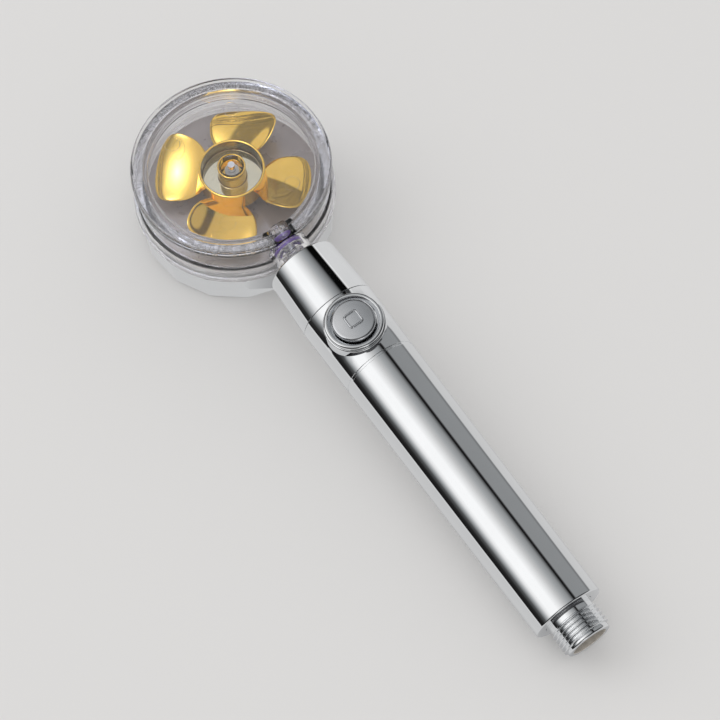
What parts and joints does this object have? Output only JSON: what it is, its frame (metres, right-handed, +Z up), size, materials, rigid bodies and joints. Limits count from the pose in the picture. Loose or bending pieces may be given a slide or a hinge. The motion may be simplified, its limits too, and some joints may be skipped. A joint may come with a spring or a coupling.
{
  "type": "handheld shower head",
  "caption": "Handheld shower head: clear round head with a gold fan, faceted chrome face ring, swivel neck, chrome handle with a push stop valve, and a hose thread at its end.",
  "frame": {"origin": "on the floor, under the middle of the bounding box of the shower head as it lies face down", "axes": "+X from the head towards the hose end, +Y across the handle, +Z up, out of the back of the head; the handle falls towards +X by 5.24 degrees"},
  "size_m": [0.2912, 0.0862, 0.0506],
  "materials": {
    "clear_shell": "water-clear polycarbonate, polished",
    "clear_nozzle": "water-clear polycarbonate with ribs",
    "clear_seal": "clear silicone",
    "violet_seal": "violet silicone",
    "black_seal": "black nitrile rubber",
    "chrome_plate": "mirror chrome plating on moulded plastic",
    "bright_ring": "mirror chrome plating on moulded plastic",
    "chrome_face": "mirror chrome plating on moulded plastic, flat sides",
    "chrome_button": "satin chrome plating on moulded plastic",
    "gold_plate": "mirror gold plating on moulded plastic",
    "steel_pin": "ground stainless steel",
    "stainless": "brushed stainless sheet with fine holes",
    "grey_plate": "satin silver-grey plastic",
    "white_bearing": "white acetal",
    "plated_brass": "chrome-plated brass, bare brass bore",
    "filter_wool": "white wound polypropylene fibre",
    "white_plastic": "white moulded plastic",
    "spool_plastic": "white acetal"
  },
  "bodies": {
    "handle": {"neck_nut": "chrome_plate", "swivel_washer": "white_bearing", "thrust_ring": "white_bearing", "valve_body": "chrome_plate", "button_bezel": "bright_ring", "joint_ring": "chrome_plate", "grip_seal": "black_seal", "grip": "chrome_plate", "filter_front_cap": "white_plastic", "filter_seal": "black_seal", "filter_cartridge": "filter_wool", "filter_rear_cap": "white_plastic", "hose_spigot": "plated_brass", "spigot_seal": "black_seal", "flow_limiter": "white_plastic", "inlet_screen": "stainless"},
    "head": {"back_cap": "clear_shell", "cap_seal": "clear_seal", "head_housing": "clear_shell", "inlet_nozzle": "clear_nozzle", "nozzle_seals": "violet_seal", "neck_clip": "white_bearing", "neck_seal": "black_seal", "jet_plate": "grey_plate", "axle_pin": "steel_pin", "thrust_washer": "steel_pin", "spray_gasket": "black_seal", "spray_plate": "stainless", "face_ring": "chrome_face"},
    "fan": {"fan_rotor": "gold_plate", "fan_bush": "white_bearing"},
    "push_valve": {"valve_spool": "spool_plastic", "spool_seals": "black_seal", "stop_button": "chrome_button", "reset_button": "chrome_button"}
  },
  "joints": [
    {"name": "head_swivel", "type": "hinge", "parent": "handle", "child": "head", "pos_m": [-0.02268, 0, 0.02905], "axis": [0.9958, 0, -0.0913], "continuous": true},
    {"name": "fan_spin", "type": "hinge", "parent": "head", "child": "fan", "pos_m": [-0.10075, 0, 0.03621], "axis": [0.0913, 0, 0.9958], "continuous": true},
    {"name": "stop_push", "type": "slide", "parent": "handle", "child": "push_valve", "axis": [-0.0909, 0.0958, -0.9912], "range_m": [0, 0.005]}
  ]
}
